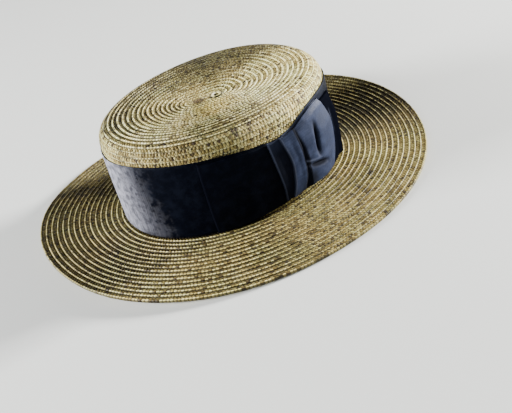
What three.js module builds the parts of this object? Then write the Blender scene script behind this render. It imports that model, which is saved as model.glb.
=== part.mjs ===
// Straw boater hat: a hollow oval crown, a saddle-shaped brim, a ribbon band and a flat bow.
// Millimetres, +Z up, front of the hat at -Y, back at +Y, the wearer's left at +X.
// The hat stands on its brim at z = 0.
import * as THREE from "three";

// Crown, measured outside
const crownLength = 200;
const crownWidth = 174;
const crownHeight = 83;
const crownWall = 2;
const crownDraft = 0.6;
const shoulderRadius = 13;
const topRingWidth = 9;
const topSag = 4.5;
// Power of the oval: 2 is an ellipse, more is squarer
const ovalPower = 2.08;
// Extra half width at the back, and as much less at the front, as a share
const backFullness = 0.02;

// Brim
const brimWidth = 76;
const brimWall = 2.2;
// Underside of the brim at the crown, above the surface that the hat stands on
const brimLift = 3.5;
// Power of the brim's bend: more keeps it level further out from the crown
const brimBend = 1.5;

// Ribbon
const bandWidth = 65;
const bandWall = 1;
const ribbonWall = 0.8;
// Space between the two layers of a pressed loop
const layerSpace = 0.4;

// Bow: lengths run along the crown's wall from the middle of the wearer's left side
const knotPlace = 8;
const knotWidth = 26;
const knotWall = 1;
const knotRise = 1.6;
// Share of the knot's rise that the pleat under the fold keeps
const underPleatShare = 0.55;
// Shares of the knot's width: its rounded side edges, the step at its fold, and the stretch
// over which it climbs from the front loop on to the back loop
const knotEdgeShare = 0.14;
const knotStepShare = 0.16;
const knotClimbShare = 0.77;
// How far the knot's foot stays above the band's lower edge, and its top passes the upper one
const knotFootRise = 4;
const knotPastTop = 2;
const frontLoopReach = 70;
const frontLoopOpen = 1.4;
const frontLoopSwell = 0.4;
const backLoopReach = 55;
const backLoopOpen = 3.4;
const backLoopSwell = 2;
const underLoopReach = 79;
const underLoopOpen = 2.6;
// Share of the under loop that stays pressed flat by the back loop on it
const underLoopPressedShare = 0.84;
// Share of a loop's swell that is lost at its upper and lower edges
const loopBarrelShare = 0.3;
// How far each loop's inner end runs in under the knot's edge
const loopTuck = 6;

// Clearance between pieces that rest on each other
const gap = 0.3;

// Stations round the oval, and rows in each piece
const ovalStations = 72;
const shoulderSteps = 4;
const sagSteps = 3;
const brimRows = 5;
const loopRows = 9;
const loopColumns = 12;
// Share of a loop's reach at which its end starts to turn, and the places along the turn
const turnShare = 0.96;
const turnPlaces = [0.2, 0.5, 0.8];
const knotRows = 9;
const knotColumns = 14;

// Brim edge above its lowest place: turn is the outward direction in degrees from the
// wearer's left towards the back, rise a share of the brim's width
const brimEdge = [
  { turn: 0, rise: 0.002 },
  { turn: 30, rise: 0.004 },
  { turn: 60, rise: 0.046 },
  { turn: 90, rise: 0.13 },
  { turn: 120, rise: 0.148 },
  { turn: 150, rise: 0.06 },
  { turn: 180, rise: 0 },
  { turn: 210, rise: 0.058 },
  { turn: 240, rise: 0.146 },
  { turn: 270, rise: 0.136 },
  { turn: 300, rise: 0.062 },
  { turn: 330, rise: 0.012 },
];

// Ribbon band's edges: around is a share of the oval's length from the wearer's left towards
// the back, low and high are shares of the band's width above the brim
const bandEdges = [
  { around: -0.5, low: 0.02, high: 1 },
  { around: -0.27, low: 0.02, high: 1 },
  { around: -0.2, low: 0.02, high: 1.04 },
  { around: -0.12, low: 0.02, high: 1.03 },
  { around: -0.06, low: 0.03, high: 0.99 },
  { around: -0.02, low: 0.055, high: 0.945 },
  { around: 0.01, low: 0.065, high: 0.92 },
  { around: 0.035, low: 0.065, high: 0.955 },
  { around: 0.06, low: 0.055, high: 1.035 },
  { around: 0.09, low: 0.035, high: 1.09 },
  { around: 0.15, low: 0.02, high: 1.08 },
  { around: 0.25, low: 0.02, high: 1.02 },
];

// Knot: up is a share of its height, the others are shares of its width from its middle
const knotLines = [
  { up: 0, left: -0.36, fold: -0.13, right: 0.32 },
  { up: 0.2, left: -0.34, fold: 0.02, right: 0.52 },
  { up: 0.55, left: -0.41, fold: 0.09, right: 0.56 },
  { up: 1, left: -0.53, fold: -0.12, right: 0.4 },
];

// Furthest that the knot's side edges lie from its middle, as a share of its width
const knotReach = Math.max(...knotLines.flatMap(({ left, right }) => [-left, right]));

// Folds pressed into a loop's outer layer: along is a share of the loop from the knot to its end,
// up a share of its height, width a share of the band's width, depth a share of the loop's opening
const backLoopFolds = [
  { along: 0.53, up: 0.88, alongEnd: 0.44, upEnd: 0.36, width: 0.085, depth: 0.7 },
  { along: 0.2, up: 0.33, alongEnd: 0.6, upEnd: 0.2, width: 0.07, depth: 0.4 },
];
const frontLoopFolds = [
  { along: 0.05, up: 0.62, alongEnd: 0.5, upEnd: 0.55, width: 0.04, depth: 0.35 },
  { along: 0.05, up: 0.36, alongEnd: 0.6, upEnd: 0.4, width: 0.04, depth: 0.3 },
];

// Loop outlines: how far the corners of the end draw back, and how far the edges lie inside
// the band's edges, as shares of the band's width
const backLoopShape = { cornerDraw: 0.14, low: 0.07, endLow: 0.12, high: 0.02, endHigh: 0.03 };
const frontLoopShape = { cornerDraw: 0.01, low: 0.02, endLow: 0.02, high: 0.015, endHigh: 0.015 };
const underLoopShape = { cornerDraw: 0.08, low: 0.06, endLow: 0.06, high: 0.06, endHigh: 0.12 };

const degree = Math.PI / 180;
const mix = (a, b, share) => a + (b - a) * share;
const clamp = (value) => Math.min(1, Math.max(0, value));
const smooth = (share) => share * share * (3 - 2 * share);

// Value of a table's column on a smooth curve through its rows; a table with a period starts
// again from its first row after it
function readTable(table, key, column, value, period = 0) {
  const count = table.length;
  const first = table[0][key];
  const place = period ? value - period * Math.floor((value - first) / period) : value;
  const rowAt = (k) => {
    const rounds = period ? Math.floor(k / count) : 0;
    const row = table[period ? k - rounds * count : Math.min(count - 1, Math.max(0, k))];
    return { at: row[key] + rounds * period, is: row[column] };
  };
  const slopeAt = (k) => {
    const before = rowAt(k - 1);
    const after = rowAt(k + 1);
    return (after.is - before.is) / (after.at - before.at);
  };
  let row = 0;
  while (row < (period ? count - 1 : count - 2) && place > rowAt(row + 1).at) row += 1;
  const low = rowAt(row);
  const high = rowAt(row + 1);
  const width = high.at - low.at;
  const share = clamp((place - low.at) / width);
  const bend = share * (1 - share) * width;
  const curve = bend * ((1 - share) * slopeAt(row) - share * slopeAt(row + 1));
  return mix(low.is, high.is, smooth(share)) + curve;
}

// The crown's oval: a superellipse, wider at the back
function ovalPoint(turn) {
  const c = Math.cos(turn);
  const s = Math.sin(turn);
  const across = Math.abs(c / (crownWidth / 2)) ** ovalPower;
  const lengthwise = Math.abs(s / (crownLength / 2)) ** ovalPower;
  const radius = (across + lengthwise) ** (-1 / ovalPower);
  return [radius * c * (1 + backFullness * s), radius * s];
}

// Distance run along the oval, at even turns, from the wearer's left all the way round
const ovalSamples = 1440;
const ovalRuns = [0];
for (let i = 1; i <= ovalSamples; i += 1) {
  const [x0, y0] = ovalPoint(((i - 1) / ovalSamples) * 2 * Math.PI);
  const [x1, y1] = ovalPoint((i / ovalSamples) * 2 * Math.PI);
  ovalRuns.push(ovalRuns[i - 1] + Math.hypot(x1 - x0, y1 - y0));
}
const ovalLength = ovalRuns[ovalSamples];

// Place on the oval after a run: its point and its outward direction
function ovalAt(run) {
  const wrapped = ((run % ovalLength) + ovalLength) % ovalLength;
  let low = 0;
  let high = ovalSamples;
  while (high - low > 1) {
    const middle = (low + high) >> 1;
    if (ovalRuns[middle] > wrapped) high = middle;
    else low = middle;
  }
  const share = (wrapped - ovalRuns[low]) / (ovalRuns[high] - ovalRuns[low]);
  const turn = ((low + share) / ovalSamples) * 2 * Math.PI;
  const step = 1e-3;
  const [x, y] = ovalPoint(turn);
  const [xa, ya] = ovalPoint(turn - step);
  const [xb, yb] = ovalPoint(turn + step);
  const length = Math.hypot(xb - xa, yb - ya);
  return { x, y, outX: (yb - ya) / length, outY: (xa - xb) / length };
}

// Point beside the oval: run along it, out from it and up
function beside(run, out, z) {
  const place = ovalAt(run);
  return new THREE.Vector3(place.x + place.outX * out, place.y + place.outY * out, z);
}

const stationRuns = [];
for (let i = 0; i < ovalStations; i += 1) stationRuns.push((i / ovalStations) * ovalLength);

// A mesh from rings of points: each ring joins the next, a ring of one point is a pole,
// and the faces are turned to point out of the body that they close
function closedSkin(rings, joinEnds, caps = []) {
  const points = [];
  const starts = [];
  for (const ring of rings) {
    starts.push(points.length);
    points.push(...ring);
  }
  const faces = [];
  const pairs = joinEnds ? rings.length : rings.length - 1;
  for (let r = 0; r < pairs; r += 1) {
    const next = (r + 1) % rings.length;
    const count = Math.max(rings[r].length, rings[next].length);
    for (let i = 0; i < count; i += 1) {
      const j = (i + 1) % count;
      const a = starts[r] + (rings[r].length > 1 ? i : 0);
      const b = starts[r] + (rings[r].length > 1 ? j : 0);
      const c = starts[next] + (rings[next].length > 1 ? j : 0);
      const d = starts[next] + (rings[next].length > 1 ? i : 0);
      if (a !== b) faces.push([a, b, c]);
      if (c !== d) faces.push([a, c, d]);
    }
  }
  for (const cap of caps) {
    const start = starts[cap.ring];
    const size = rings[cap.ring].length;
    for (let i = 0; i < size / 2 - 1; i += 1) {
      const quad = [start + i, start + i + 1, start + size - 2 - i, start + size - 1 - i];
      const order = cap.first ? [0, 3, 2, 1] : [0, 1, 2, 3];
      const [a, b, c, d] = order.map((k) => quad[k]);
      faces.push([a, b, c], [a, c, d]);
    }
  }
  let volume = 0;
  for (const [a, b, c] of faces) {
    volume += points[a].dot(points[b].clone().cross(points[c]));
  }
  const flat = [];
  for (const [a, b, c] of faces) {
    const order = volume > 0 ? [a, b, c] : [a, c, b];
    for (const k of order) flat.push(points[k].x, points[k].y, points[k].z);
  }
  const geometry = new THREE.BufferGeometry();
  geometry.setAttribute("position", new THREE.Float32BufferAttribute(flat, 3));
  geometry.computeVertexNormals();
  return geometry;
}

// Heights that the pieces share
const rootUnder = brimLift;
const rootTop = rootUnder + brimWall;
const crownFoot = rootTop + gap;
const crownTop = rootTop + crownHeight;

// The crown's wall leans in evenly by its draft
function wallOut(z) {
  return -crownDraft * clamp((z - rootTop) / (crownHeight - shoulderRadius));
}

// One side of the crown from foot to pole: inset is how far inside the outer skin it lies
function crownSide(inset) {
  const radius = shoulderRadius - inset;
  const shoulderFoot = crownTop - shoulderRadius;
  const rings = [];
  for (const share of [0, 0.5, 1]) {
    const z = mix(crownFoot, shoulderFoot, share);
    rings.push(stationRuns.map((run) => beside(run, wallOut(z) - inset, z)));
  }
  for (let i = 1; i <= shoulderSteps; i += 1) {
    const bend = (i / shoulderSteps) * 90 * degree;
    const out = -crownDraft - shoulderRadius + radius * Math.cos(bend);
    const z = shoulderFoot + radius * Math.sin(bend);
    rings.push(stationRuns.map((run) => beside(run, out, z)));
  }
  const top = crownTop - inset;
  const ringOut = -crownDraft - shoulderRadius - topRingWidth;
  const flatEdge = stationRuns.map((run) => beside(run, ringOut, top));
  rings.push(flatEdge);
  for (let i = 1; i < sagSteps; i += 1) {
    const share = 1 - i / sagSteps;
    const z = top - topSag * (1 - share * share);
    rings.push(flatEdge.map((p) => new THREE.Vector3(p.x * share, p.y * share, z)));
  }
  rings.push([new THREE.Vector3(0, 0, top - topSag)]);
  return rings;
}

function crownGeometry() {
  return closedSkin([...crownSide(0), ...crownSide(crownWall).reverse()], true);
}

// Height of the brim's edge at a run along the oval, by the way that it faces there
function edgeHeight(run) {
  const place = ovalAt(run);
  const turn = Math.atan2(place.outY, place.outX) / degree;
  return brimWidth * readTable(brimEdge, "turn", "rise", turn, 360);
}
const lowestEdge = Math.min(...stationRuns.map(edgeHeight));

// The brim's middle surface: level under the crown, bending more and more towards its edge
function brimMiddle(run, out) {
  const share = clamp(out / brimWidth) ** brimBend;
  return brimWall / 2 + mix(brimLift, edgeHeight(run) - lowestEdge, share);
}

function brimGeometry() {
  const outs = [-crownWall];
  for (let i = 0; i <= brimRows; i += 1) outs.push((i / brimRows) * brimWidth);
  const half = brimWall / 2;
  const upper = outs.map((out) =>
    stationRuns.map((run) => beside(run, out, brimMiddle(run, out) + half)));
  const lower = outs.map((out) =>
    stationRuns.map((run) => beside(run, out, brimMiddle(run, out) - half)));
  return closedSkin([...upper, ...lower.reverse()], true);
}

// The band's edges at a run along the oval, as heights
function bandHeights(run) {
  const around = run / ovalLength;
  return {
    low: rootTop + bandWidth * readTable(bandEdges, "around", "low", around, 1),
    high: rootTop + bandWidth * readTable(bandEdges, "around", "high", around, 1),
  };
}

function bandGeometry() {
  const bandRing = (share, out) => stationRuns.map((run) => {
    const edges = bandHeights(run);
    const z = mix(edges.low, edges.high, share);
    return beside(run, wallOut(z) + out, z);
  });
  const inner = gap;
  const outer = gap + bandWall;
  const rings = [0, 0.5, 1].map((share) => bandRing(share, outer));
  rings.push(...[1, 0.5, 0].map((share) => bandRing(share, inner)));
  return closedSkin(rings, true);
}

// A sheet of cloth: a grid of middle points, thickened along its own normals and closed
function sheetGeometry(grid, wall) {
  const columns = grid.length;
  const rows = grid[0].length;
  const normalAt = (i, j) => {
    const alongStep = grid[Math.min(i + 1, columns - 1)][j].clone();
    alongStep.sub(grid[Math.max(i - 1, 0)][j]);
    const upStep = grid[i][Math.min(j + 1, rows - 1)].clone();
    upStep.sub(grid[i][Math.max(j - 1, 0)]);
    return alongStep.cross(upStep).normalize();
  };
  const rings = grid.map((column, i) => {
    const front = column.map((p, j) => p.clone().addScaledVector(normalAt(i, j), wall / 2));
    const back = column.map((p, j) => p.clone().addScaledVector(normalAt(i, j), -wall / 2));
    return [...front, ...back.reverse()];
  });
  return closedSkin(rings, false, [{ ring: 0, first: true }, { ring: columns - 1, first: false }]);
}

// Depth of the folds at a place on a loop's outer layer, as a share of the loop's rise there;
// foldEndShare sets how much of a fold's depth is left at its two ends
const foldEndShare = 0.12;
function foldDepth(folds, along, up, reach) {
  let depth = 0;
  for (const fold of folds) {
    const runX = (fold.alongEnd - fold.along) * reach;
    const runZ = (fold.upEnd - fold.up) * bandWidth;
    const x = (along - fold.along) * reach;
    const z = (up - fold.up) * bandWidth;
    const share = clamp((x * runX + z * runZ) / (runX * runX + runZ * runZ));
    const away = Math.hypot(x - runX * share, z - runZ * share) / (fold.width * bandWidth);
    const ends = Math.sin(Math.PI * mix(foldEndShare, 1 - foldEndShare, share));
    depth = Math.max(depth, fold.depth * ends * Math.exp(-away * away));
  }
  return depth;
}

// A loop of ribbon laid against the crown: an inner layer, a turn at its end and an outer layer.
// side is 1 towards the back and -1 towards the front, seat the middle of the inner layer,
// open the room between the layers at the end, swell the outer layer's extra rise half way,
// openFrom the share of the loop that stays pressed flat, besides what lies under the knot
function loopGeometry({ side, reach, seat, open, swell = 0, shape, folds = [], openFrom = 0 }) {
  const tuck = knotWidth / 2 - loopTuck;
  const pressed = seat + ribbonWall + layerSpace;
  const underKnot = (knotWidth * knotReach - tuck) / (reach - tuck);
  const flat = Math.max(underKnot, openFrom);
  const place = (along, up) => {
    const corner = shape.cornerDraw * bandWidth * (2 * up - 1) ** 2;
    return knotPlace + side * mix(tuck, reach - corner, along);
  };
  const height = (along, up) => {
    const edges = bandHeights(place(along, 0.5));
    const low = mix(shape.low, shape.endLow, along);
    const high = mix(shape.high, shape.endHigh, along);
    return mix(edges.low + low * bandWidth, edges.high - high * bandWidth, up);
  };
  const outerLayer = (along, up) => {
    const share = clamp((along - flat) / (turnShare - flat));
    const barrel = 1 - loopBarrelShare * (1 - Math.sin(Math.PI * up));
    const rise = open * smooth(share) + swell * Math.sin(Math.PI * share) * barrel;
    return pressed + rise * (1 - foldDepth(folds, along, up, reach));
  };
  const columns = [];
  for (let i = 0; i <= loopColumns; i += 1) {
    columns.push({ layer: "inner", share: turnShare * (i / loopColumns) });
  }
  for (const share of turnPlaces) columns.push({ layer: "turn", share });
  for (let i = loopColumns; i >= 0; i -= 1) {
    columns.push({ layer: "outer", share: turnShare * (i / loopColumns) });
  }
  const grid = columns.map(({ layer, share }) => {
    const column = [];
    for (let j = 0; j <= loopRows; j += 1) {
      const up = j / loopRows;
      const radius = (outerLayer(turnShare, up) - seat) / 2;
      let along = share;
      let out = layer === "inner" ? seat : outerLayer(share, up);
      let extra = 0;
      if (layer === "turn") {
        along = turnShare;
        const bend = mix(-90, 90, share) * degree;
        out = seat + radius + radius * Math.sin(bend);
        extra = side * radius * Math.cos(bend);
      }
      const z = height(along, up);
      column.push(beside(place(along, up) + extra, wallOut(z) + out, z));
    }
    return column;
  });
  return sheetGeometry(grid, ribbonWall);
}

// Layers of the bow, each resting on the one below
const bandFace = gap + bandWall;
const firstSeat = bandFace + gap + ribbonWall / 2;
const pressedLoop = 2 * ribbonWall + layerSpace;
const secondSeat = firstSeat + pressedLoop + gap;
const knotLeftSeat = firstSeat + pressedLoop + gap - ribbonWall / 2 + knotWall / 2;
const knotRightSeat = secondSeat + pressedLoop + gap - ribbonWall / 2 + knotWall / 2;

// The knot: a strip with one pleat lapped over the other along its fold line
function knotGeometry() {
  const grid = [];
  for (let i = 0; i <= knotColumns; i += 1) {
    const across = i / knotColumns;
    const column = [];
    for (let j = 0; j <= knotRows; j += 1) {
      const up = j / knotRows;
      const left = readTable(knotLines, "up", "left", up);
      const fold = readTable(knotLines, "up", "fold", up);
      const right = readTable(knotLines, "up", "right", up);
      const foldShare = (fold - left) / (right - left);
      const run = knotPlace + knotWidth * mix(left, right, across);
      const lapped = smooth(clamp((across - foldShare) / knotStepShare + 0.5));
      const seat = mix(knotLeftSeat, knotRightSeat, smooth(clamp(across / knotClimbShare)));
      const edge = clamp(Math.min(across, 1 - across) / knotEdgeShare);
      const rise = knotRise * mix(underPleatShare, 1, lapped) * Math.sqrt(edge);
      const edges = bandHeights(run);
      const z = mix(edges.low + knotFootRise, edges.high + knotPastTop, up);
      column.push(beside(run, wallOut(z) + seat + rise, z));
    }
    grid.push(column);
  }
  return sheetGeometry(grid, knotWall);
}

const strawColor = 0xb9ab7e;
const brimColor = 0xb2a274;
const bandColor = 0x161a26;
const bowColor = 0x2b3348;
const strawRoughness = 0.62;
const clothRoughness = 0.5;

const pieces = [
  { name: "crown", geometry: crownGeometry(), color: strawColor, roughness: strawRoughness },
  { name: "brim", geometry: brimGeometry(), color: brimColor, roughness: strawRoughness },
  { name: "hat_band", geometry: bandGeometry(), color: bandColor, roughness: clothRoughness },
  {
    name: "bow_front_loop",
    geometry: loopGeometry({
      side: -1, reach: frontLoopReach, seat: firstSeat, open: frontLoopOpen,
      swell: frontLoopSwell, shape: frontLoopShape, folds: frontLoopFolds,
    }),
    color: bandColor,
    roughness: clothRoughness,
  },
  {
    name: "bow_under_loop",
    geometry: loopGeometry({
      side: 1, reach: underLoopReach, seat: firstSeat, open: underLoopOpen,
      shape: underLoopShape, openFrom: underLoopPressedShare,
    }),
    color: bandColor,
    roughness: clothRoughness,
  },
  {
    name: "bow_back_loop",
    geometry: loopGeometry({
      side: 1, reach: backLoopReach, seat: secondSeat, open: backLoopOpen,
      swell: backLoopSwell, shape: backLoopShape, folds: backLoopFolds,
    }),
    color: bowColor,
    roughness: clothRoughness,
  },
  { name: "bow_knot", geometry: knotGeometry(), color: bowColor, roughness: clothRoughness },
];

const hat = new THREE.Group();
for (const { name, geometry, color, roughness } of pieces) {
  const material = new THREE.MeshStandardMaterial({ color, roughness, metalness: 0 });
  const mesh = new THREE.Mesh(geometry, material);
  mesh.name = name;
  hat.add(mesh);
}

export default hat;
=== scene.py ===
"""Looks of the straw boater hat: rows of sewn straw plait, the ribbon band and the bow.

Lengths inside the functions are millimetres in the hat's frame; make_piece turns them into metres.
"""

import math

import bmesh
import bpy
import numpy as np
from mathutils import Matrix


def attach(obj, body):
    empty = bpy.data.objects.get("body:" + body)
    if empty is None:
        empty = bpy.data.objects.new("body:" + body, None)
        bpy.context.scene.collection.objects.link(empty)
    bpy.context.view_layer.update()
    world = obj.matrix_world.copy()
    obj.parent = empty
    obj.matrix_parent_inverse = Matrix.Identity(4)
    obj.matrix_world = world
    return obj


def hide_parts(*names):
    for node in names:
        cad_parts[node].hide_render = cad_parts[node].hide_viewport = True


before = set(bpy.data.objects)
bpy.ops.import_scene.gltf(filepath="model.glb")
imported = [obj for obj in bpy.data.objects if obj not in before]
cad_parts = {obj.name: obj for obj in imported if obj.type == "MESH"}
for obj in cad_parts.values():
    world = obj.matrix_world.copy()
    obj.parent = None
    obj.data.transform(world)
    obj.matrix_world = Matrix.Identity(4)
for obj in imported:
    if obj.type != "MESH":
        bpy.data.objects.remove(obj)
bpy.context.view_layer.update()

# Crown and brim, measured outside
HALF_WIDTH = 87.0
HALF_LENGTH = 100.0
OVAL_POWER = 2.08
BACK_FULLNESS = 0.02
CROWN_HEIGHT = 83.0
CROWN_WALL = 2.0
CROWN_DRAFT = 0.6
SHOULDER = 13.0
TOP_RING = 9.0
TOP_SAG = 4.5
BRIM_WIDTH = 76.0
BRIM_WALL = 2.2
BRIM_LIFT = 3.5
BRIM_BEND = 1.5
GAP = 0.3
ROOT_TOP = BRIM_LIFT + BRIM_WALL
CROWN_FOOT = ROOT_TOP + GAP
CROWN_TOP = ROOT_TOP + CROWN_HEIGHT
SHOULDER_FOOT = CROWN_TOP - SHOULDER

# Straw rows: how wide each shows, and the section of one, as shares across it and heights
CROWN_ROW = 4.3
BRIM_ROWS = 16
ROW_SECTION = [
    {"across": 0.0, "height": -0.60},
    {"across": 0.09, "height": -0.46},
    {"across": 0.30, "height": -0.16},
    {"across": 0.54, "height": -0.16},
    {"across": 0.63, "height": -0.10},
    {"across": 0.70, "height": 0.36},
    {"across": 0.80, "height": 0.56},
    {"across": 0.90, "height": 0.42},
    {"across": 0.97, "height": -0.30},
]
ACROSS = np.array([row["across"] for row in ROW_SECTION])
HEIGHT = np.array([row["height"] for row in ROW_SECTION])

# How far apart the straws cross along a row, and across it the raised edge's crest and half width
PLAIT_STEP = 2.8
CREST = 0.81
CREST_HALF = 0.19

# The crown's row where the rows begin to flatten towards the wall, and the share of the band's
# width that its plain rows reach up to
EDGE_ROW = 17.8
PLAIN_UP_TO = 0.86

# Ribbon
BAND_WIDTH = 65.0
BAND_WALL = 1.0
RIBBON_WALL = 0.8
LAYER_SPACE = 0.4
KNOT_PLACE = 8.0
KNOT_WIDTH = 26.0
KNOT_WALL = 1.0
LOOP_TUCK = 6.0
TURN_SHARE = 0.96
BOW_CLOTH_START = 300.0

# How far the brim's edge rises, in brim widths, by the way that it faces: degrees from the
# wearer's left (+X) towards the back (+Y)
BRIM_EDGE = [
    {"turn": 0, "rise": 0.002},
    {"turn": 30, "rise": 0.004},
    {"turn": 60, "rise": 0.046},
    {"turn": 90, "rise": 0.13},
    {"turn": 120, "rise": 0.148},
    {"turn": 150, "rise": 0.06},
    {"turn": 180, "rise": 0},
    {"turn": 210, "rise": 0.058},
    {"turn": 240, "rise": 0.146},
    {"turn": 270, "rise": 0.136},
    {"turn": 300, "rise": 0.062},
    {"turn": 330, "rise": 0.012},
]

# The band's lower and upper edge, in band widths over the brim, by the share of the way round the
# hat from the wearer's left towards the back
BAND_EDGES = [
    {"around": -0.5, "low": 0.02, "high": 1},
    {"around": -0.27, "low": 0.02, "high": 1},
    {"around": -0.2, "low": 0.02, "high": 1.04},
    {"around": -0.12, "low": 0.02, "high": 1.03},
    {"around": -0.06, "low": 0.03, "high": 0.99},
    {"around": -0.02, "low": 0.055, "high": 0.945},
    {"around": 0.01, "low": 0.065, "high": 0.92},
    {"around": 0.035, "low": 0.065, "high": 0.955},
    {"around": 0.06, "low": 0.055, "high": 1.035},
    {"around": 0.09, "low": 0.035, "high": 1.09},
    {"around": 0.15, "low": 0.02, "high": 1.08},
    {"around": 0.25, "low": 0.02, "high": 1.02},
]

# The knot's left edge, fold line and right edge, in knot widths from KNOT_PLACE, by height
KNOT_LINES = [
    {"up": 0, "left": -0.36, "fold": -0.13, "right": 0.32},
    {"up": 0.2, "left": -0.34, "fold": 0.02, "right": 0.52},
    {"up": 0.55, "left": -0.41, "fold": 0.09, "right": 0.56},
    {"up": 1, "left": -0.53, "fold": -0.12, "right": 0.4},
]


def mix(a, b, share):
    """a at share 0 and b at share 1."""
    return a + (b - a) * share


def smooth(share):
    """3 t^2 - 2 t^3, with t held between 0 and 1."""
    t = np.clip(share, 0.0, 1.0)
    return t * t * (3 - 2 * t)


def bell(x, width):
    """exp(-(x / width)^2)."""
    return np.exp(-((x / width) ** 2))


def table_curve(table, key, column, value, period=0.0):
    """A column's value on a smooth curve through the table's rows.

    Between rows it is a cubic whose slope at each row is that between the row's two neighbours.
    """
    at = np.array([row[key] for row in table], float)
    of = np.array([row[column] for row in table], float)
    value = np.asarray(value, float)
    if period:
        at = np.concatenate([at[-2:] - period, at, at[:2] + period])
        of = np.concatenate([of[-2:], of, of[:2]])
        value = at[2] + np.mod(value - at[2], period)
    slope = np.gradient(of)
    slope[1:-1] = (of[2:] - of[:-2]) / (at[2:] - at[:-2])
    slope[0] = (of[1] - of[0]) / (at[1] - at[0])
    slope[-1] = (of[-1] - of[-2]) / (at[-1] - at[-2])
    i = np.clip(np.searchsorted(at, value, side="right") - 1, 0, len(at) - 2)
    width = at[i + 1] - at[i]
    t = np.clip((value - at[i]) / width, 0.0, 1.0)
    bend = t * (1 - t) * width * ((1 - t) * slope[i] - t * slope[i + 1])
    return mix(of[i], of[i + 1], t * t * (3 - 2 * t)) + bend


# The crown's oval


def oval_point(turn):
    """Superellipse |x/a|^p + |y/b|^p = 1 at a polar angle, wider at the back than in front."""
    c, s = np.cos(turn), np.sin(turn)
    r = (np.abs(c / HALF_WIDTH) ** OVAL_POWER + np.abs(s / HALF_LENGTH) ** OVAL_POWER) ** (
        -1 / OVAL_POWER
    )
    return r * c * (1 + BACK_FULLNESS * s), r * s


OVAL_TURNS = np.linspace(0, 2 * math.pi, 7201)
_x, _y = oval_point(OVAL_TURNS)
OVAL_RUNS = np.concatenate([[0.0], np.cumsum(np.hypot(np.diff(_x), np.diff(_y)))])
OVAL_LENGTH = float(OVAL_RUNS[-1])


def oval_at(run):
    """(x, y, outward x, outward y) after a run along the oval from the wearer's left."""
    turn = np.interp(np.mod(run, OVAL_LENGTH), OVAL_RUNS, OVAL_TURNS)
    x, y = oval_point(turn)
    xa, ya = oval_point(turn - 1e-4)
    xb, yb = oval_point(turn + 1e-4)
    length = np.hypot(xb - xa, yb - ya)
    return x, y, (yb - ya) / length, (xa - xb) / length


def beside(run, out, z):
    """Points that far out from the oval, stacked as (..., 3)."""
    x, y, nx, ny = oval_at(run)
    return np.stack(np.broadcast_arrays(x + nx * out, y + ny * out, z), axis=-1)


def wall_out(z):
    """Lean of the crown's wall: 0 at its foot and -CROWN_DRAFT at the shoulder."""
    return -CROWN_DRAFT * np.clip((z - ROOT_TOP) / (CROWN_HEIGHT - SHOULDER), 0, 1)


WAVE_COUNTS = (2, 3, 5, 8, 13, 21, 34)
WAVE_SUM = 2.2


def waves(place, period, seed, strength):
    """Sum of sin(2 pi n x / period + phase) / sqrt(n) over WAVE_COUNTS, times strength / WAVE_SUM.

    The phases are drawn from the seed.
    """
    rng = np.random.default_rng(seed)
    total = np.zeros_like(np.asarray(place, float))
    for n in WAVE_COUNTS:
        phase = rng.uniform(0, 2 * math.pi)
        total = total + np.sin(2 * math.pi * n * place / period + phase) / math.sqrt(n)
    return strength * total / WAVE_SUM


def way_along(points):
    """Distance from the first point along a line of points (number, ..., 3)."""
    steps = np.linalg.norm(np.diff(points, axis=0), axis=-1)
    return np.concatenate([0 * steps[:1], np.cumsum(steps, axis=0)])


# Making pieces


def make_piece(name, grids, uvs, painted_light_shade_grids=()):
    """One mesh from grids of points (rows, columns, 3), each cell a face, welded where they meet.

    The optional last grids give (shade, light) at each point: painted shade, as in a crease, and
    painted light that makes the cloth paler.
    """
    points, corners, uv = [], [], []
    start = 0
    for grid, uv_grid in zip(grids, uvs):
        rows, columns = grid.shape[:2]
        index = start + np.arange(rows * columns).reshape(rows, columns)
        cells = np.stack(
            [index[:-1, :-1], index[:-1, 1:], index[1:, 1:], index[1:, :-1]], axis=-1
        ).reshape(-1, 4)
        points.append(grid.reshape(-1, 3))
        uv.append(uv_grid.reshape(-1, 2))
        corners.append(cells)
        start += rows * columns
    points = np.concatenate(points) / 1000.0
    uv = np.concatenate(uv)
    corners = np.concatenate(corners)
    mesh = bpy.data.meshes.new(name)
    mesh.vertices.add(len(points))
    mesh.vertices.foreach_set("co", points.astype(np.float32).ravel())
    mesh.loops.add(corners.size)
    mesh.loops.foreach_set("vertex_index", corners.astype(np.int32).ravel())
    mesh.polygons.add(len(corners))
    mesh.polygons.foreach_set("loop_start", np.arange(0, corners.size, 4, dtype=np.int32))
    layer = mesh.uv_layers.new(name="rows")
    layer.data.foreach_set("uv", uv[corners.ravel()].astype(np.float32).ravel())
    if painted_light_shade_grids:
        painted_light_shade = np.concatenate([grid.reshape(-1, 2) for grid in painted_light_shade_grids])
        layer = mesh.uv_layers.new(name="painted_light_shade")
        layer.data.foreach_set("uv", painted_light_shade[corners.ravel()].astype(np.float32).ravel())
    mesh.update(calc_edges=True)
    work = bmesh.new()
    work.from_mesh(mesh)
    bmesh.ops.remove_doubles(work, verts=work.verts, dist=2e-6)
    bmesh.ops.recalc_face_normals(work, faces=work.faces)
    if work.calc_volume(signed=True) < 0:
        bmesh.ops.reverse_faces(work, faces=work.faces)
    for face in work.faces:
        face.smooth = True
    work.to_mesh(mesh)
    work.free()
    mesh.validate()
    piece = bpy.data.objects.new(name, mesh)
    bpy.context.scene.collection.objects.link(piece)
    return piece


def slopes(grid, axis, ring=False):
    """Differences between the neighbours along an axis, one-sided at the ends of an open one."""
    grid = np.moveaxis(grid, axis, 0)
    step = np.empty_like(grid)
    step[1:-1] = grid[2:] - grid[:-2]
    step[0] = grid[1] - (grid[-2] if ring else grid[0])
    step[-1] = (grid[1] if ring else grid[-1]) - grid[-2]
    return np.moveaxis(step, 0, axis)


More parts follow.
